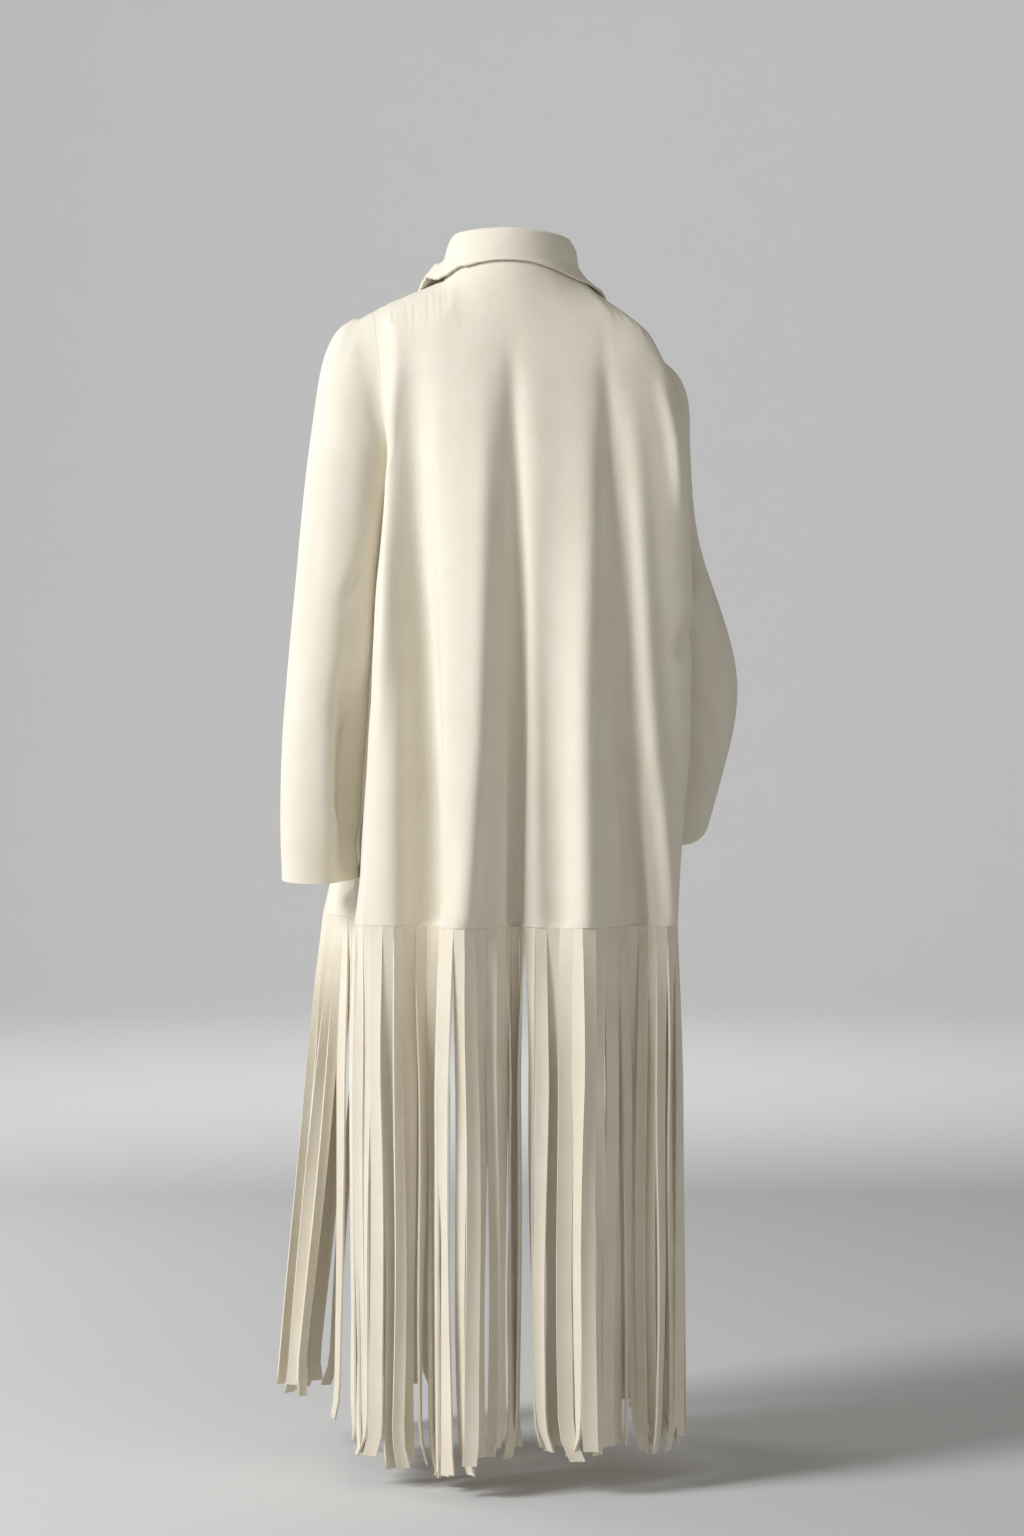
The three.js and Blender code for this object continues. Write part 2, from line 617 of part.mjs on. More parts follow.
// Fringe: the cloth below the hem is cut into strips. The uncut cloth just under the hem is a
// narrow root strip, and each cut strip hangs from it, turning about its own length.
let noiseSeed = 11;
function noise() {
  noiseSeed = (noiseSeed * 16807) % 2147483647;
  return (noiseSeed / 2147483647) * 2 - 1;
}

function hemCurve(pointAt, from, to) {
  const steps = 240;
  const points = [];
  for (let k = 0; k <= steps; k += 1) points.push(pointAt(mix(from, to, k / steps)));
  const lengths = [0];
  for (let k = 1; k <= steps; k += 1) lengths.push(lengths[k - 1] + points[k].distanceTo(points[k - 1]));
  const total = lengths[steps];
  const at = (distance) => {
    const d = clamp(distance, 0, total);
    let k = 0;
    while (k < steps - 1 && lengths[k + 1] < d) k += 1;
    const point = points[k].clone().lerp(points[k + 1], (d - lengths[k]) / (lengths[k + 1] - lengths[k]));
    const along = points[k + 1].clone().sub(points[k]).normalize();
    return { point, along, out: vec(-along.y, along.x, 0).negate() };
  };
  return { total, at };
}

function fringeRow(curve, stripEndZ, tipShift) {
  const count = Math.round(curve.total / stripPitch);
  const pitch = curve.total / count;
  const vertices = [];
  const faces = [];
  const add = (point) => vertices.push(point) - 1;
  const quad = (a, b, c, d) => faces.push(a, b, c, a, c, d);
  const corners = [];
  for (let n = 0; n < count; n += 1) {
    for (const edge of [n * pitch + slitWidth / 2, (n + 1) * pitch - slitWidth / 2]) {
      const { point, out } = curve.at(edge);
      const corner = {};
      for (const [name, z] of [['Top', hemZ - seamGap], ['Foot', hemZ - rootHeight]]) {
        const middle = vec(point.x, point.y, z);
        corner[`outer${name}`] = add(middle.clone().addScaledVector(out, stripThickness / 2));
        corner[`inner${name}`] = add(middle.clone().addScaledVector(out, -stripThickness / 2));
      }
      corners.push(corner);
    }
  }
  const last = corners.length - 1;
  for (let c = 0; c < last; c += 1) {
    const a = corners[c];
    const b = corners[c + 1];
    quad(a.outerFoot, b.outerFoot, b.outerTop, a.outerTop);
    quad(b.innerFoot, a.innerFoot, a.innerTop, b.innerTop);
    quad(a.outerTop, b.outerTop, b.innerTop, a.innerTop);
    if (c % 2 === 1) quad(a.outerFoot, a.innerFoot, b.innerFoot, b.outerFoot);
  }
  const first = corners[0];
  const end = corners[last];
  quad(first.outerFoot, first.outerTop, first.innerTop, first.innerFoot);
  quad(end.innerFoot, end.innerTop, end.outerTop, end.outerFoot);

  for (let n = 0; n < count; n += 1) {
    const { point, along, out } = curve.at((n + 0.5) * pitch);
    const share = (n + 0.5) / count;
    const turnDeg = stripTurn.middleDeg + stripTurn.spreadDeg * noise();
    const turned = THREE.MathUtils.degToRad(turnDeg) * (noise() > stripTurn.otherWayShare ? 1 : -1);
    const halfWidth = (pitch - slitWidth) / 2;
    const spare = pitch / 2 - halfWidth * Math.cos(Math.abs(turned)) - stripThickness / 2;
    const sideways = clamp(spare, 0, stripSway.sidewaysMost) * stripSway.sideways * noise();
    const outward = stripSway.outward * noise();
    const endZ = stripEndZ + stripSway.ends * noise();
    const shift = tipShift(share);
    let upper = [corners[2 * n].outerFoot, corners[2 * n + 1].outerFoot,
      corners[2 * n + 1].innerFoot, corners[2 * n].innerFoot];
    for (let k = 1; k <= stripSteps; k += 1) {
      const fall = k / stripSteps;
      const turn = turned * Math.sin((Math.PI / 2) * Math.min(1, fall * stripTurn.quickening));
      const wide = along.clone().multiplyScalar(Math.cos(turn)).addScaledVector(out, Math.sin(turn));
      const thick = out.clone().multiplyScalar(Math.cos(turn)).addScaledVector(along, -Math.sin(turn));
      const centre = vec(point.x, point.y, mix(hemZ - rootHeight, endZ, fall));
      centre.addScaledVector(along, sideways * fall).addScaledVector(out, outward * fall * fall);
      centre.addScaledVector(shift, fall ** stripSway.flarePower);
      wide.multiplyScalar(halfWidth);
      thick.multiplyScalar(stripThickness / 2);
      const lower = [
        add(centre.clone().sub(wide).add(thick)),
        add(centre.clone().add(wide).add(thick)),
        add(centre.clone().add(wide).sub(thick)),
        add(centre.clone().sub(wide).sub(thick)),
      ];
      for (let m = 0; m < 4; m += 1) {
        const next = (m + 1) % 4;
        quad(lower[m], lower[next], upper[next], upper[m]);
      }
      upper = lower;
    }
    quad(upper[0], upper[3], upper[2], upper[1]);
  }
  return geometryOf(vertices, faces);
}

const sideInset = 0.004;
const backHem = hemCurve((s) => backPoint(s, hemZ), 1 - sideInset, -1 + sideInset);
const leftHem = hemCurve((s) => frontPoint(left, leftFrontSection, s, hemZ), 0, 1 - sideInset);
const rightHem = hemCurve((s) => frontPoint(right, rightFrontSection, s, hemZ), 1 - sideInset, 0);

// The strips of the open left front swing out to the side, most at its front edge.
const leftFlare = (share) => vec(mix(88, 4, share), -10, 0);
const rightFlare = (share) => vec(mix(-4, -12, share), 0, 0);

// The object
const coat = new THREE.Group();
function addPiece(name, geometry, colour) {
  const mesh = new THREE.Mesh(geometry, new THREE.MeshStandardMaterial({ color: colour, ...ivory }));
  mesh.name = name;
  coat.add(mesh);
}
addPiece('back', clothWall(back), clothColours.back);
addPiece('front_left', clothWall(frontLeft), clothColours.front);
addPiece('front_right', clothWall(frontRight), clothColours.front);
addPiece('sleeve_left', clothWall(sleeveLeft), clothColours.sleeve);
addPiece('sleeve_right', clothWall(sleeveRight), clothColours.sleeve);
addPiece('collar', clothWall(collar), clothColours.collar);
addPiece('fringe_back', fringeRow(backHem, backStripEndZ, () => vec(0, 0, 0)), clothColours.fringe);
addPiece('fringe_front_left', fringeRow(leftHem, frontStripEndZ, leftFlare), clothColours.fringe);
addPiece('fringe_front_right', fringeRow(rightHem, frontStripEndZ, rightFlare), clothColours.fringe);

export default coat;
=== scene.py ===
# Long open coat of thick ivory double-faced wool with a deep fringe of cut strips, hollow as worn.
# Metres, +Z up. The fronts face -Y, the back faces +Y, and +X is the wearer's left.

import math
import random

import bmesh
import bpy
import numpy as np
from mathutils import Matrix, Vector
from mathutils.bvhtree import BVHTree


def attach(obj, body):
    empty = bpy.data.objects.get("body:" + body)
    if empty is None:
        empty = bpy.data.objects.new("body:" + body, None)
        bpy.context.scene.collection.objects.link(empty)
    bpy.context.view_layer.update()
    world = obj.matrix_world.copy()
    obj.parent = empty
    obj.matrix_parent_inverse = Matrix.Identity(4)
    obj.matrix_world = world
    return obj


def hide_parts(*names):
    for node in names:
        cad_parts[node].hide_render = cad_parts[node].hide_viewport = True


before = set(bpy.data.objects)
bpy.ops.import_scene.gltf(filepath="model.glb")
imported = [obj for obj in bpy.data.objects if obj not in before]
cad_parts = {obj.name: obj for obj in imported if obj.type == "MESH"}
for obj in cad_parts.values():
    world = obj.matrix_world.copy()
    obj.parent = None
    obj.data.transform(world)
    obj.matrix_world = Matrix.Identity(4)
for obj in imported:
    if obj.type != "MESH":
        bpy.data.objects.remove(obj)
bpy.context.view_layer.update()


# Studio. A seamless sweep of pale painted board stands all round, with the camera behind the coat.
# A broad strong lamp hangs high on the left of the picture and a weak one on the right, with one
# more each for the floor, the wall that shows and the wall behind the camera.
CAMERA_PLACE = Vector((0, 4.58, -0.569))
FOCAL_PIXELS = 3480
PICTURE_HEIGHT = 1536
PICTURE_MIDDLE = (512, 702)
SENSOR_WIDTH = 36
FLOOR_Z = -1.586
FLOOR_RADIUS = 7
BEND_RADIUS = 4
WALL_RISE = 3
BOARD_GREY = (0.66, 0.665, 0.672, 1)
SKY_GREY = (0.76, 0.725, 0.67, 1)
SKY_STRENGTH = 0.3
# Each lamp: its place, what it points at, its width, its power and its colour.
LAMPS = {
    "key_lamp": ((4.2, 2.2, 1.9), (0, 0, -0.6), 2.0, 272, (0.985, 0.99, 1)),
    "fill_lamp": ((-3.4, 3.2, 0.9), (0, 0, -0.7), 2.4, 16, (1, 0.98, 0.95)),
    "floor_lamp": ((3.0, -2.0, 0.4), (0.9, -2.7, -1.6), 2.0, 36, (1, 1, 1)),
    "wall_lamp": ((0, -3.1, 2.6), (0, -7.2, 2.1), 3, 228, (1, 1, 1)),
    "far_wall_lamp": ((0, 5.4, 3.4), (0, 8, 0.9), 3, 70, (1, 1, 1)),
}


def object_of(shape, name):
    """An object in the scene, made of a finished bmesh."""
    data = bpy.data.meshes.new(name)
    shape.to_mesh(data)
    shape.free()
    made = bpy.data.objects.new(name, data)
    bpy.context.scene.collection.objects.link(made)
    return made


camera_data = bpy.data.cameras.new("camera")
camera_data.lens = SENSOR_WIDTH * FOCAL_PIXELS / PICTURE_HEIGHT
camera_data.clip_end = 60
camera = bpy.data.objects.new("camera", camera_data)
camera.location = CAMERA_PLACE
tilt = math.atan((PICTURE_HEIGHT / 2 - PICTURE_MIDDLE[1]) / FOCAL_PIXELS)
camera.rotation_euler = (math.radians(90) - tilt, 0, math.pi)
bpy.context.scene.collection.objects.link(camera)
bpy.context.scene.camera = camera

for name, (place, aim, width, power, colour) in LAMPS.items():
    lamp_data = bpy.data.lights.new(name, "AREA")
    lamp_data.shape = "DISK"
    lamp_data.size = width
    lamp_data.energy = power
    lamp_data.color = colour
    lamp = bpy.data.objects.new(name, lamp_data)
    lamp.location = place
    lamp.rotation_euler = (Vector(aim) - Vector(place)).to_track_quat("-Z", "Y").to_euler()
    bpy.context.scene.collection.objects.link(lamp)

# The plain display curve keeps the photo's contrast between lit and shaded cloth.
bpy.context.scene.view_settings.view_transform = "Standard"

world = bpy.data.worlds.new("studio")
world.use_nodes = True
world.node_tree.nodes["Background"].inputs["Color"].default_value = SKY_GREY
world.node_tree.nodes["Background"].inputs["Strength"].default_value = SKY_STRENGTH
bpy.context.scene.world = world

board = bmesh.new()
floor_ends = [board.verts.new((0, 0, FLOOR_Z)), board.verts.new((FLOOR_RADIUS, 0, FLOOR_Z))]
board.edges.new(floor_ends)
bend = bmesh.ops.spin(
    board, geom=[floor_ends[1]], cent=(FLOOR_RADIUS, 0, FLOOR_Z + BEND_RADIUS), axis=(0, -1, 0),
    angle=math.radians(90), steps=12,
)
bend_top = [vert for vert in bend["geom_last"] if isinstance(vert, bmesh.types.BMVert)]
wall = bmesh.ops.extrude_vert_indiv(board, verts=bend_top)
bmesh.ops.translate(board, verts=wall["verts"], vec=(0, 0, WALL_RISE))
bmesh.ops.spin(
    board, geom=board.edges[:], cent=(0, 0, 0), axis=(0, 0, 1), angle=math.tau, steps=72, use_merge=True
)
bmesh.ops.remove_doubles(board, verts=board.verts, dist=1e-4)
bmesh.ops.recalc_face_normals(board, faces=board.faces)
for face in board.faces:
    face.smooth = True
sweep = object_of(board, "sweep")
sweep_paint = bpy.data.materials.new("sweep_paint")
sweep_paint.use_nodes = True
sweep_shader = sweep_paint.node_tree.nodes["Principled BSDF"]
sweep_shader.inputs["Base Color"].default_value = BOARD_GREY
sweep_shader.inputs["Roughness"].default_value = 0.85
sweep_shader.inputs["Specular IOR Level"].default_value = 0.2
sweep.data.materials.append(sweep_paint)


# Cloth. Thick ivory double-faced wool with a short brushed nap, the same on both faces, dull and
# a little uneven in tone, with a slight grain that runs down the length of the coat.
CLOUD = {"Scale": 14, "Detail": 3, "Roughness": 0.55}
FIBRE = {"Scale": 520, "Detail": 4, "Roughness": 0.7}
NAP = {"Scale": 1150, "Detail": 2, "Roughness": 0.6}
FIBRE_STRETCH = (1, 1, 0.35)
TONE_CONTRAST = 2.2
NAP_HEIGHT = 0.0009


class Socket:
    """One output of a node, in an expression that adds the nodes it needs."""

    def __init__(self, paint, link):
        self.paint = paint
        self.link = link

    def math(self, operation, first, second):
        return self.paint.node("ShaderNodeMath", {"operation": operation}, [first, second])

    def __add__(self, other):
        return self.math("ADD", self, other)

    def __sub__(self, other):
        return self.math("SUBTRACT", self, other)

    def __rsub__(self, other):
        return self.math("SUBTRACT", other, self)

    def __mul__(self, other):
        return self.math("MULTIPLY", self, other)

    __radd__ = __add__
    __rmul__ = __mul__


class Paint:
    """A material's nodes, round its one Principled shader."""

    def __init__(self, name, **uniform):
        self.material = bpy.data.materials.new(name)
        self.material.use_nodes = True
        self.tree = self.material.node_tree
        self.shader = self.tree.nodes["Principled BSDF"]
        for socket, value in uniform.items():
            self.shader.inputs[socket.replace("_", " ")].default_value = value

    def node(self, kind, settings=None, inputs=(), output=0):
        made = self.tree.nodes.new(kind)
        for setting, value in (settings or {}).items():
            setattr(made, setting, value)
        pairs = inputs.items() if isinstance(inputs, dict) else enumerate(inputs)
        for socket, value in pairs:
            if isinstance(value, Socket):
                self.tree.links.new(value.link, made.inputs[socket])
            else:
                made.inputs[socket].default_value = value
        return Socket(self, made.outputs[output])

    def feed(self, socket, value):
        self.tree.links.new(value.link, self.shader.inputs[socket])


def wool(name, pale, deep, grain):
    """Brushed wool: cloudy tone, short fibres down the cloth and a nap that catches the light."""
    paint = Paint(name, Specular_IOR_Level=0.18, Sheen_Weight=0.22, Sheen_Roughness=0.55)
    place = paint.node("ShaderNodeTexCoord", output="Object")
    down = paint.node(
        "ShaderNodeMapping", {"vector_type": "POINT"}, {"Vector": place, "Scale": FIBRE_STRETCH}
    )
    cloud = paint.node("ShaderNodeTexNoise", inputs={"Vector": place, **CLOUD})
    fibre = paint.node("ShaderNodeTexNoise", inputs={"Vector": down, **FIBRE})
    nap = paint.node("ShaderNodeTexNoise", inputs={"Vector": place, **NAP})
    tone = 0.55 * cloud + 0.3 * fibre + 0.15 * nap
    share = TONE_CONTRAST * (tone - 0.5) + 0.5
    colour = paint.node("ShaderNodeMix", {"data_type": "RGBA"}, {0: share, 6: deep, 7: pale}, output=2)
    paint.feed("Base Color", colour)
    paint.feed("Roughness", 0.84 + 0.14 * fibre)
    height = grain * (0.7 * fibre + 0.3 * nap) + 1.5 * cloud
    bump = paint.node(
        "ShaderNodeBump", inputs={"Strength": 0.55, "Distance": NAP_HEIGHT, "Height": height}
    )
    paint.feed("Normal", bump)
    return paint.material


coat_wool = wool("ivory_wool", (0.85, 0.805, 0.695, 1), (0.77, 0.71, 0.58, 1), 1.0)
# The strips are cut from the coat's own cloth. Their pale and deep colours are painted a little darker and
# browner than the coat's, as painted shade for the shade among the hanging strips.
strip_wool_painted_shade = wool("strip_wool_painted_shade", (0.85, 0.795, 0.675, 1), (0.74, 0.665, 0.525, 1), 1.3)


# Back, fronts and sleeves. Wide panels of one cloth, sewn edge to edge at the shoulders, sides and
# armholes with flat seams. They hang from the shoulder blades in long drape folds, the left sleeve
# straight and the right one bent, with its cloth pushed into folds inside the elbow.
CLOTH_THICKNESS = 0.0028
SEAM_GAP = 0.00015
SHORTEST_RIM, LONGEST_RIM = 0.0024, 0.0047
SHOULDER_WELD = 0.0011
SEAM_WELD = 0.0038
LONGEST_EDGE = 0.009
HEM_BAND_Z = -0.8545
SHOULDER_Y = 0.005
SHOULDER_TIP_X = 0.174
NECK_POINT_X = 0.076
NECK_POINT_REACH = 0.045
NECK_POINT_ROUNDS = 70
ARMHOLE_FOOT_Z = -0.29
ARMHOLE_STEPS = 15
ARMHOLE_ROUNDS = 110
# Each panel: the face it starts from, the sharpest turn of its cloth in degrees, how alike two
# corners across its rim may face, its flat cut and the cut's area.
PANELS = {
    "back": (lambda face: face.calc_center_median().y, 70, 0.5, (0.74, 0.93), 0.54),
    "front_left": (lambda face: -face.calc_center_median().y, 70, 0.5, (0.36, 0.9), 0.22),
    "front_right": (lambda face: -face.calc_center_median().y, 70, 0.5, (0.36, 0.9), 0.22),
    "sleeve_left": (lambda face: face.calc_center_median().x * face.normal.x, 50, 0.35, (0.46, 0.62), 0.22),
    "sleeve_right": (lambda face: face.calc_center_median().x * face.normal.x, 70, 0.5, (0.46, 0.62), 0.22),
}
# Folds: side (1 as seen, -1 on the far side), depth and half width in millimetres, and places in
# the picture. A ridge has a depth below zero.
FOLDS = [
    # back
    (1, 34, 24, [(411, 330), (414, 480), (419, 620), (424, 760), (425, 918)]),
    (1, 13, 30, [(542, 480), (546, 640), (550, 780), (556, 918)]),
    (1, 10, 12, [(512, 320), (514, 450), (517, 600), (518, 740), (513, 918)]),
    (1, 10, 10, [(604, 330), (608, 450), (612, 600), (618, 730), (640, 918)]),
    (1, 8, 12, [(652, 760), (656, 840), (664, 918)]),
    (1, -6, 16, [(590, 420), (589, 560), (584, 700), (585, 918)]),
    (1, -7, 14, [(632, 400), (642, 560), (650, 700), (668, 918)]),
    (1, -5, 10, [(640, 318), (661, 380), (675, 440), (681, 510)]),
    (1, 18, 11, [(660, 334), (678, 385), (690, 440), (696, 500), (693, 570), (684, 650)]),
    (1, -9, 15, [(486, 380), (483, 560), (478, 740), (466, 918)]),
    (1, -7, 11, [(388, 350), (391, 480), (387, 600), (381, 740)]),
    # fronts
    (-1, 5, 12, [(430, 420), (424, 560), (420, 700), (416, 880)]),
    (-1, 4, 10, [(452, 560), (446, 700), (438, 900)]),
    (-1, 5, 12, [(590, 430), (592, 580), (596, 720), (602, 900)]),
    (-1, 4, 9, [(560, 600), (564, 740), (570, 900)]),
    # left sleeve
    (1, 12, 17, [(356, 560), (350, 640), (346, 720), (344, 800), (346, 884)]),
    (1, 42, 28, [(360, 690), (360, 740), (359, 790), (357, 830), (354, 862), (351, 880)]),
    (1, 3, 9, [(365, 560), (352, 590), (340, 610)]),
    (1, 3, 9, [(362, 660), (345, 690), (332, 720)]),
    (-1, 4, 12, [(330, 520), (318, 600), (312, 680)]),
    (-1, 4, 12, [(345, 600), (325, 640), (305, 650)]),
    # right sleeve
    (1, 5, 10, [(705, 560), (712, 620), (712, 690)]),
    (1, 8, 8, [(686, 803), (697, 818), (712, 838)]),
    (1, 4, 9, [(700, 700), (712, 740), (716, 780)]),
    (-1, 6, 12, [(690, 640), (712, 650), (732, 665)]),
    (-1, 5, 10, [(695, 680), (712, 692), (728, 700)]),
]
# A fold whose line ends below this row of the picture runs out through the hem.
OPEN_END_ROW = 880


def faces_beside(face):
    return {other for edge in face.edges for other in edge.link_faces}


def outer_skin(name, outermost, sharpest, facing=0.5, tight=False):
    """The outward face of a panel's thin solid, as one open sheet of four-sided faces. The rim is
    known by its edges as long as the cloth is thick. A tight roll has such edges too, off the rim."""
    skin = bmesh.new()
    skin.from_mesh(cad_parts[name].data)
    bmesh.ops.remove_doubles(skin, verts=skin.verts, dist=2e-5)
    skin.normal_update()
    across_rim = [
        edge
        for edge in skin.edges
        if SHORTEST_RIM < edge.calc_length() < LONGEST_RIM
        and edge.verts[0].normal.dot(edge.verts[1].normal) < facing
    ]
    rim = {face for edge in across_rim for face in edge.link_faces}
    while tight:
        ends = {face for face in rim if len(faces_beside(face) & rim) < 3}
        rim -= ends
        tight = bool(ends)

    def runs_on(face, other, most):
        return face.normal.angle(other.normal) < math.radians(most)

    sheet = {max((face for face in skin.faces if face not in rim), key=outermost)}
    spreading = list(sheet)
    while spreading:
        face = spreading.pop()
        for other in faces_beside(face):
            if other not in sheet and other not in rim and runs_on(face, other, sharpest):
                sheet.add(other)
                spreading.append(other)
    for _ in range(4):
        for face in skin.faces:
            beside = faces_beside(face) & sheet
            if face not in sheet and len(beside) > 1 and all(runs_on(face, other, 90) for other in beside):
                sheet.add(face)
    bmesh.ops.delete(skin, geom=[face for face in skin.faces if face not in sheet], context="FACES")
    bmesh.ops.join_triangles(
        skin, faces=skin.faces, angle_face_threshold=math.pi, angle_shape_threshold=math.pi,
        topology_influence=1,
    )
    return skin


def round_off(skin, name, levels, passes):
    """Rounds a coarse sheet into a fine one, with its corners kept. Each pass brings the fine sheet
    nearer to the coarse one's places."""
    coarse = object_of(skin, name)
    rounding = coarse.modifiers.new("rounding", "SUBSURF")
    rounding.levels = rounding.render_levels = levels
    rounding.boundary_smooth = "PRESERVE_CORNERS"

    def rounded():
        return bpy.data.meshes.new_from_object(coarse.evaluated_get(bpy.context.evaluated_depsgraph_get()))

    wanted = [vert.co.copy() for vert in coarse.data.vertices]
    for _ in range(passes):
        for place, vert, fine in zip(wanted, coarse.data.vertices, rounded().vertices):
            vert.co += place - fine.co
        coarse.data.update()
        coarse.update_tag()
        bpy.context.view_layer.update()
    sheet = bmesh.new()
    sheet.from_mesh(rounded())
    bpy.data.objects.remove(coarse)
    sheet.normal_update()
    return sheet


def seen_place(tree, px, py, side):
    """Where the sight line through a place in the picture meets the cloth, on its back or its front."""
    way = Vector((-(px - PICTURE_MIDDLE[0]) / FOCAL_PIXELS, -1, -(py - PICTURE_MIDDLE[1]) / FOCAL_PIXELS))
    if side > 0:
        return tree.ray_cast(CAMERA_PLACE, way.normalized(), 9)[0]
    far = CAMERA_PLACE + way * 9
    return tree.ray_cast(far, (CAMERA_PLACE - far).normalized(), 9)[0]


def press_folds(sheet, folds):
    """Pushes troughs in and ridges out along lines in the picture, soft across and fading at both
    ends, with a slight rise on both sides."""
    tree = BVHTree.FromBMesh(sheet)
    places = np.array([vert.co[:] for vert in sheet.verts])
    push = np.zeros(len(places))
    for side, depth, width, line in folds:
        found = [seen_place(tree, px, py, side) for px, py in line]
        marks = np.array([place[:] for place in found if place is not None])
        lengths = np.concatenate([[0], np.cumsum(np.linalg.norm(np.diff(marks, axis=0), axis=1))])
        nearest = np.full(len(places), 9.0)
        along = np.zeros(len(places))
        for k in range(len(marks) - 1):
            run = marks[k + 1] - marks[k]
            share = np.clip(((places - marks[k]) @ run) / max(run @ run, 1e-9), 0, 1)
            away = np.linalg.norm(places - marks[k] - share[:, None] * run, axis=1)
            closer = away < nearest
            nearest[closer] = away[closer]
            along[closer] = (lengths[k] + share * np.linalg.norm(run))[closer]
        if line[-1][1] > OPEN_END_ROW:
            fade = np.sin(np.pi / 2 * np.clip(along / lengths[-1], 0.02, 1)) ** 0.8
        else:
            fade = np.sin(np.pi * np.clip(along / lengths[-1], 0.02, 0.98)) ** 0.6
        across = nearest / (width / 1000)
        push -= depth / 1000 * fade * (1.25 * np.exp(-(across**2)) - 0.25 * np.exp(-((across / 2.4) ** 2)))
    sheet.normal_update()
    for vert, amount in zip(sheet.verts, push):
        vert.co += vert.normal * amount
    sheet.normal_update()


def finish_cloth(sheet, name, material, node, thickness):
    """A sheet as a cloth wall with its own thickness, standing for the solid of the same piece."""
    for face in sheet.faces:
        face.smooth = True
        face.material_index = 0
    for edge in sheet.edges:
        edge.smooth = not edge.is_boundary
    cloth = object_of(sheet, name)
    cloth.data.materials.append(material)
    wall = cloth.modifiers.new("wall", "SOLIDIFY")
    wall.thickness = thickness
    wall.offset = -1
    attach(cloth, "root")
    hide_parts(node)
    return cloth


def ease(share):
    """A smooth step from 0 to 1."""
    share = min(1, max(0, share))
    return share * share * (3 - 2 * share)


def smooth_places(sheet, verts, rounds):
    for _ in range(rounds):
        bmesh.ops.smooth_vert(
            sheet, verts=verts, factor=0.5, use_axis_x=True, use_axis_y=True, use_axis_z=True
        )


def soften(sheet, shares, rounds):
    """Evens out a zone of the cloth, each place by its own share, and leaves the cut edges."""
    inside = [vert for vert in shares if not vert.is_boundary]
    before = [vert.co.copy() for vert in inside]
    smooth_places(sheet, inside, rounds)
    for vert, place in zip(inside, before):
        vert.co = place.lerp(vert.co, shares[vert])


def shoulder_seam(sheet):
    """The places along both shoulder seams, on the back's edge and on the fronts'."""
    return [
        vert
        for vert in sheet.verts
        if vert.is_boundary
        and abs(vert.co.y - SHOULDER_Y) < 0.003
        and 0.05 < abs(vert.co.x) < 0.19
        and vert.co.z > -0.12
    ]


def share_places(sheet):
    """Gives each edge of a shoulder seam the other edge's places too, so that they can be joined."""
    for behind in (True, False):
        for mark in [vert.co.x for vert in shoulder_seam(sheet) if (vert.co.y > SHOULDER_Y) == behind]:
            seam = set(shoulder_seam(sheet))
            for edge in [edge for edge in sheet.edges if edge.is_boundary and set(edge.verts) <= seam]:
                near, far = edge.verts[0].co, edge.verts[1].co
                share = (mark - near.x) / (far.x - near.x)
                clear = 0.0012 / abs(far.x - near.x)
                if (near.y > SHOULDER_Y) != behind and clear < share < 1 - clear:
                    bmesh.ops.bisect_edges(sheet, edges=[edge], cuts=1, edge_percents={edge: share})
                    break


sewn = bmesh.new()
for index, (name, (outermost, sharpest, facing, *_)) in enumerate(PANELS.items()):
    skin = outer_skin(name, outermost, sharpest, facing)
    for face in skin.faces:
        face.material_index = index
    panel_data = bpy.data.meshes.new(name)
    skin.to_mesh(panel_data)
    skin.free()
    sewn.from_mesh(panel_data)
share_places(sewn)
bmesh.ops.remove_doubles(sewn, verts=shoulder_seam(sewn), dist=SHOULDER_WELD)
on_shoulders = {vert for vert in shoulder_seam(sewn) if abs(vert.co.x) < SHOULDER_TIP_X}
seams = [vert for vert in sewn.verts if vert.is_boundary and vert not in on_shoulders]
bmesh.ops.remove_doubles(sewn, verts=seams, dist=SEAM_WELD)
sewn = round_off(sewn, "sewn", 2, 2)
bmesh.ops.subdivide_edges(
    sewn, edges=[edge for edge in sewn.edges if edge.calc_length() > LONGEST_EDGE], cuts=1,
    use_grid_fill=True,
)

# The back is pinched at its neck points and all round the armholes, so these places are evened out.
neck_points = {}
armholes = {}
for vert in sewn.verts:
    if not vert.is_boundary and vert.co.y > 0.003 and vert.co.z > -0.15:
        aside = abs(abs(vert.co.x) - NECK_POINT_X)
        neck_points[vert] = ease(2.3 - aside / NECK_POINT_REACH) * ease((vert.co.z + 0.15) / 0.05)
    if len({face.material_index for face in vert.link_faces}) > 1 and vert.co.z > ARMHOLE_FOOT_Z:
        armholes[vert] = 1
outermost_places = list(armholes)
for step in range(1, ARMHOLE_STEPS + 1):
    beside = {edge.other_vert(vert) for vert in outermost_places for edge in vert.link_edges} - set(armholes)
    for vert in beside:
        armholes[vert] = ease(1.4 - step / 12)
    outermost_places = list(beside)
soften(sewn, neck_points, NECK_POINT_ROUNDS)
soften(sewn, armholes, ARMHOLE_ROUNDS)
press_folds(sewn, FOLDS)
body_surface = BVHTree.FromBMesh(sewn)

coat = {}
for index, (name, (*_, flat, area)) in enumerate(PANELS.items()):
    panel = sewn.copy()
    others = [face for face in panel.faces if face.material_index != index]
    bmesh.ops.delete(panel, geom=others, context="FACES")
    for vert in panel.verts:
        if vert.is_boundary:
            inner = [edge.other_vert(vert) for edge in vert.link_edges if not edge.is_boundary]
            if inner and vert.co.z > HEM_BAND_Z:
                vert.co += (inner[0].co - vert.co).normalized() * SEAM_GAP
    coat[name] = finish_cloth(panel, "coat_" + name, coat_wool, name, CLOTH_THICKNESS)
sewn.free()


# Collar. One folded strip that stands round the neck, rolls over and falls on the shoulders, of
# the same cloth, sewn into the neck seam.
NECK_MIDDLE = 0.02
FALL_LIFT = 0.0036
FALL_REACH = 0.04

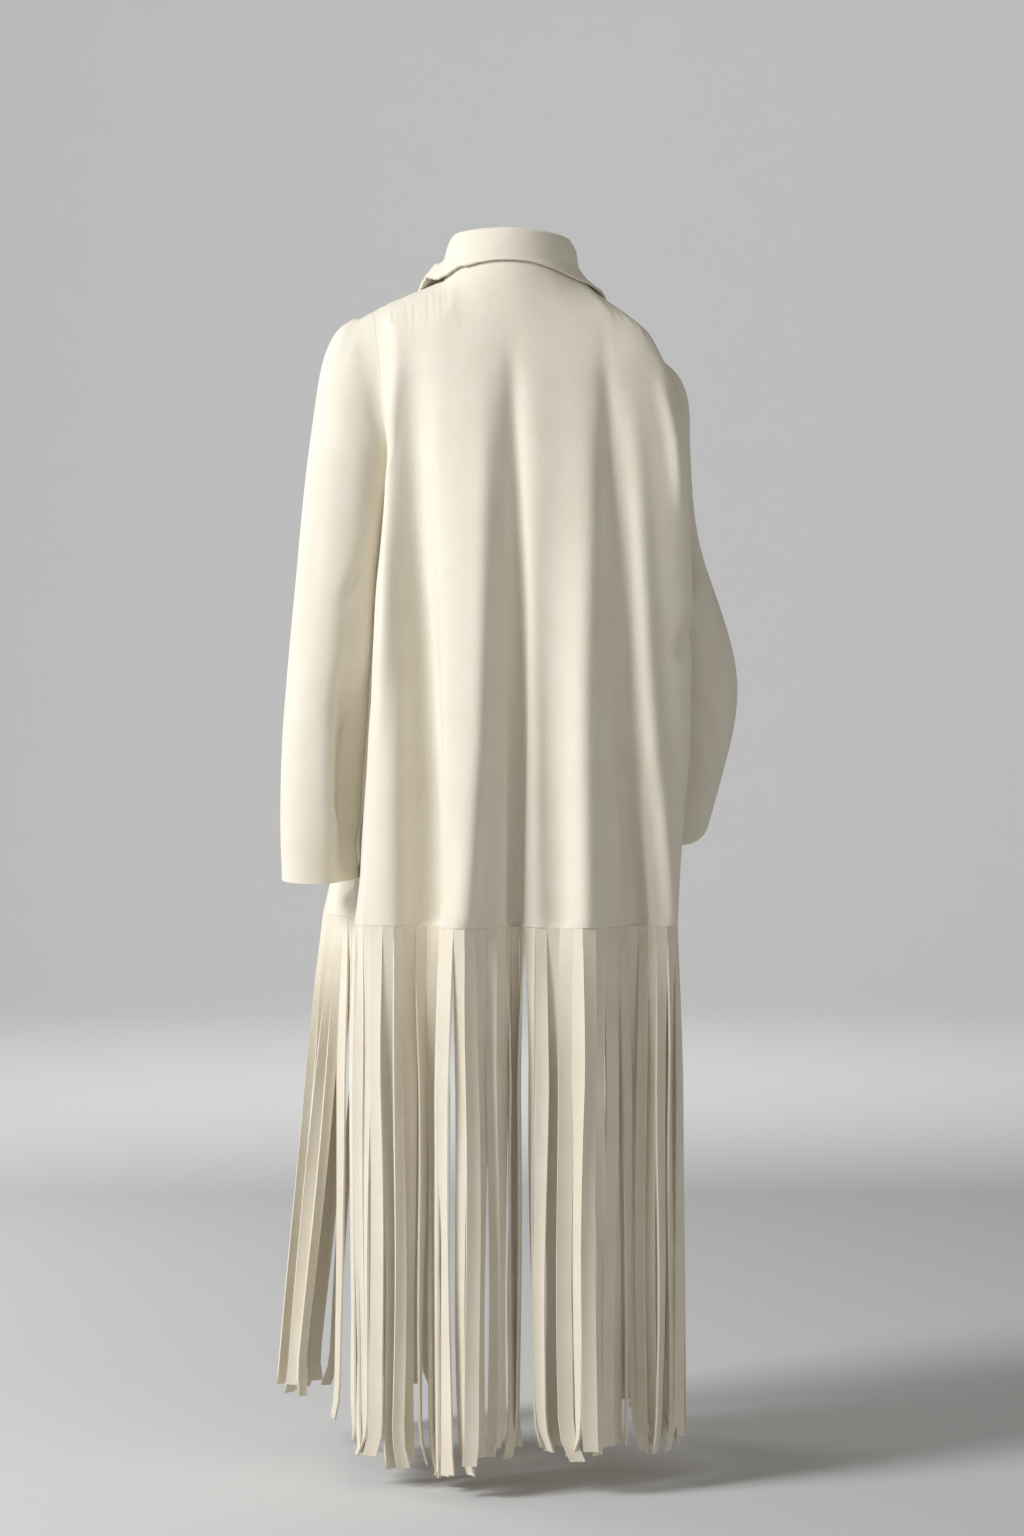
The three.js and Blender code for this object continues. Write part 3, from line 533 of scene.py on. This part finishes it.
collar_skin = outer_skin("collar", lambda face: face.calc_center_median().z, 150, tight=True)
collar_sheet = round_off(collar_skin, "collar_fine", 3, 0)
over_shoulder = [
    vert
    for vert in collar_sheet.verts
    if vert.co.x > 0.07 and vert.co.y > -0.03 and vert.co.z < 0.01 and vert.normal.z > 0
]
smooth_places(collar_sheet, over_shoulder, 14)

# The fall is laid nearer to the shoulders, the more the closer it already is to them.
for vert in collar_sheet.verts:
    under, _, _, height = body_surface.find_nearest(vert.co)
    outward = Vector((vert.co.x, vert.co.y - NECK_MIDDLE, 0)).normalized()
    if (vert.normal.dot(outward) > 0.15 or vert in over_shoulder) and FALL_LIFT < height < FALL_REACH:
        lowered = FALL_LIFT + (height - FALL_LIFT) ** 3 / (FALL_REACH - FALL_LIFT) ** 2
        vert.co = under + (vert.co - under) * (lowered / height)
coat_collar = finish_cloth(collar_sheet, "coat_collar", coat_wool, "collar", CLOTH_THICKNESS)


# Fringe. The cloth below the hem is cut into long flat strips that turn and curl as they hang,
# with a narrow uncut root that is sewn to the hem.
STRIP_THICKNESS = 0.0026
STRIP_PITCH = 0.0156
STRIP_CUT = 0.0006
STRIP_SPREAD = 0.12
STRIP_CUP = 0.0016
STRIP_STEPS = 26
ROOT_Z = -0.8572
UNEVEN_WIDTH = 0.2
UNEVEN_END = 0.009
# Turns in degrees, near the root and further down.
ROOT_TURNS = (6, 14, 24, 34)
ROOT_TURN_SPREAD = 4
LATER_TURN_MOST = 42
# Strips hang in bunches, some in front of their neighbours, and ripple and curl at the tips.
BUNCH_SIZES = (2, 3, 3, 4)
GATHER_SHARES = (0.1, 0.36)
LAYER_DEPTHS = (0.002, 0.0045)
OUTWARD_MOST = 0.006
RIPPLE = 0.0022
CURL_MOST = 0.016
# Shares of a strip's length: where it has settled, and where its tip starts and how long that is.
SETTLED_AT = 0.3
TIP_AT, TIP_LENGTH = 0.93, 0.07
# Each row: the panel it hangs from, its solid, its seed, which way out is, and tables along the
# hem (0 to 1) of how far the strips lean to the left of the picture, how many degrees they turn
# and how high they end.
FRINGE_ROWS = {
    "fringe_row_back": (
        "back", "fringe_back", 3, 1,
        [(0, 0), (1, 0)],
        [(0, 0), (1, 0)],
        [(0, -1.52), (0.14, -1.548), (0.29, -1.567), (0.38, -1.55), (0.46, -1.53), (1, -1.53)],
    ),
    "fringe_row_left": (
        "front_left", "fringe_front_left", 5, -1,
        [(0, 0.004), (0.2, -0.016), (0.24, 0.062), (0.41, 0.055), (0.44, 0.036), (0.5, 0.04),
         (0.63, 0.052), (0.67, 0.006), (1, 0)],
        [(0, 0), (0.22, 10), (0.26, 58), (0.6, 45), (0.66, 0), (1, 0)],
        [(0, -1.53), (0.22, -1.53), (0.25, -1.5), (0.6, -1.505), (0.7, -1.53), (1, -1.53)],
    ),
    "fringe_row_right": (
        "front_right", "fringe_front_right", 8, -1,
        [(0, -0.012), (1, -0.004)],
        [(0, 0), (1, 0)],
        [(0, -1.53), (1, -1.535)],
    ),
}


def hem_line(cloth):
    """The hem's edge in order, from the left side of the picture to the right."""
    sheet = bmesh.new()
    sheet.from_mesh(cloth.data)
    edges = {
        edge
        for edge in sheet.edges
        if edge.is_boundary and all(vert.co.z < HEM_BAND_Z for vert in edge.verts)
    }
    ends = [vert for vert in sheet.verts if len(edges & set(vert.link_edges)) == 1]
    vert = max(ends, key=lambda end: end.co.x)
    line = [vert.co.copy()]
    ahead = edges & set(vert.link_edges)
    while ahead:
        edge = ahead.pop()
        edges.remove(edge)
        vert = edge.other_vert(vert)
        line.append(vert.co.copy())
        ahead = edges & set(vert.link_edges)
    sheet.free()
    return np.array([place[:] for place in line])


def bunch_middles(chance, count):
    """For each strip, the number in the row that the middle of its bunch has."""
    middles = []
    while len(middles) < count:
        size = min(chance.choice(BUNCH_SIZES), count - len(middles))
        middles += [len(middles) + (size - 1) / 2] * size
    return middles


def fringe_row(name, cloth, node, seed, out_sign, sways, turns, ends):
    """A row of strips along a cloth's hem, and the hem's length."""
    chance = random.Random(seed)
    line = hem_line(cloth)
    runs = np.concatenate([[0], np.cumsum(np.linalg.norm(np.diff(line, axis=0), axis=1))])
    hem_length = runs[-1]
    count = round(hem_length / STRIP_PITCH)
    widths = np.array([1 + UNEVEN_WIDTH * chance.uniform(-1, 1) for _ in range(count)])
    cuts = np.concatenate([[0], np.cumsum(widths)]) / widths.sum() * hem_length
    cut_places = [Vector([float(np.interp(cut, runs, line[:, axis])) for axis in range(3)]) for cut in cuts]
    middles = bunch_middles(chance, count)
    strips = bmesh.new()
    for n, (start, stop) in enumerate(zip(cut_places, cut_places[1:])):
        along = (stop - start).normalized()
        out = Vector((along.y, -along.x, 0)) * out_sign
        root = (start + stop) / 2
        width = (stop - start).length
        at = (n + 0.5) / count
        root_turn = chance.choice(ROOT_TURNS) + chance.uniform(-ROOT_TURN_SPREAD, ROOT_TURN_SPREAD)
        root_turn = math.radians(root_turn) * chance.choice((-1, 1))
        later_turn = math.radians(chance.uniform(-LATER_TURN_MOST, LATER_TURN_MOST))
        facing = math.radians(float(np.interp(at, *zip(*turns))))
        gather = (middles[n] - n) * STRIP_PITCH * chance.uniform(*GATHER_SHARES)
        outward = chance.uniform(-OUTWARD_MOST, OUTWARD_MOST)
        layer = chance.uniform(*LAYER_DEPTHS) * (1 if n % 2 else -1)
        curl = chance.choice((-1, 1)) * chance.uniform(0, CURL_MOST)
        lean = float(np.interp(at, *zip(*sways)))
        end = float(np.interp(at, *zip(*ends))) + chance.uniform(-UNEVEN_END, UNEVEN_END)
        wave = chance.uniform(0, math.tau)
        made = bmesh.ops.create_grid(strips, x_segments=2, y_segments=STRIP_STEPS, size=0.5)
        for vert in made["verts"]:
            across = vert.co.x
            fall = 0.5 - vert.co.y
            settled = min(1, fall / SETTLED_AT)
            lower = max(0, fall - SETTLED_AT) / (1 - SETTLED_AT)
            tip = max(0, (fall - TIP_AT) / TIP_LENGTH)
            place = Vector((root.x, root.y, ROOT_Z + (end - ROOT_Z) * fall))
            place += along * (gather * lower**1.4 + RIPPLE * math.sin(7 * fall + wave) * settled)
            place += out * (outward * fall * fall + layer * settled)
            place.x += lean * fall**1.15
            place += along * curl * tip * tip
            angle = (root_turn + facing) * math.sin(math.pi / 2 * settled) + later_turn * lower
            wide = along * math.cos(angle) + out * math.sin(angle)
            thick = out * math.cos(angle) - along * math.sin(angle)
            half = width * (1 + STRIP_SPREAD * settled) - STRIP_CUT * min(1, fall / 0.02)
            cup = STRIP_CUP * (4 * across * across) * settled
            vert.co = place + wide * across * half + thick * cup
    roots = [vert for vert in strips.verts if vert.co.z > ROOT_Z - 0.0003]
    bmesh.ops.remove_doubles(strips, verts=roots, dist=2e-4)
    if out_sign < 0:
        bmesh.ops.reverse_faces(strips, faces=strips.faces)
    strips.normal_update()
    return finish_cloth(strips, name, strip_wool_painted_shade, node, STRIP_THICKNESS), hem_length


for name, (panel, *row_tables) in FRINGE_ROWS.items():
    row, hem_length = fringe_row(name, coat[panel], *row_tables)
